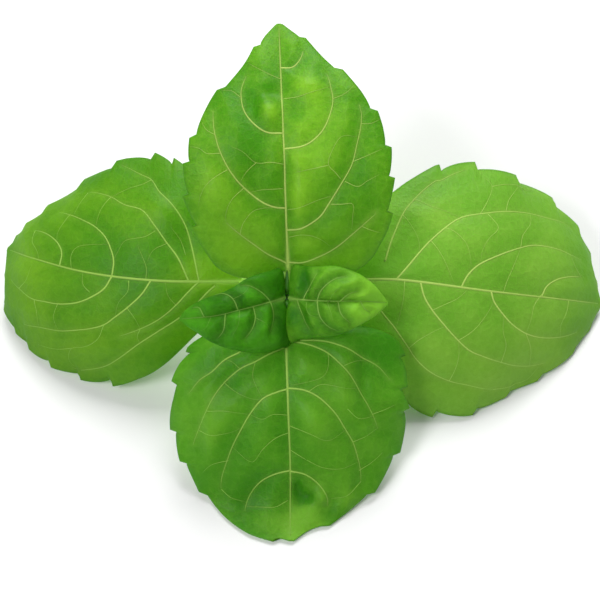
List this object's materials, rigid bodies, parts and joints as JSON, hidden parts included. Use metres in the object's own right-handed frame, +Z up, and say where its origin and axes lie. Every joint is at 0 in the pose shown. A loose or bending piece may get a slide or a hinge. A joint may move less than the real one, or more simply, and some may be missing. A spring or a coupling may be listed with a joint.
{
  "type": "basil sprig",
  "caption": "Cut tip of a basil stem, lying down, with two crosswise pairs of large toothed leaves and a pair of young leaves in the middle.",
  "frame": {"origin": "middle of the sprig's box in X and Y, on the surface that it lies on", "axes": "+Z up from the surface, +X to the viewer's right, the viewer looks along +Y and down"},
  "size_m": [0.1387, 0.1, 0.0609],
  "materials": {
    "stem": "satin, finely hairy pale green stem",
    "leaf_dark": "waxy, slightly glossy green leaf with pale veins",
    "leaf_light": "satin light green leaf with pale veins",
    "leaf_young": "glossy quilted young leaf"
  },
  "bodies": {
    "root": {"stem": "stem", "leaf_top": "leaf_dark", "leaf_bottom": "leaf_dark", "leaf_left": "leaf_light", "leaf_right": "leaf_light", "young_leaf_left": "leaf_young", "young_leaf_right": "leaf_young"}
  },
  "joints": []
}
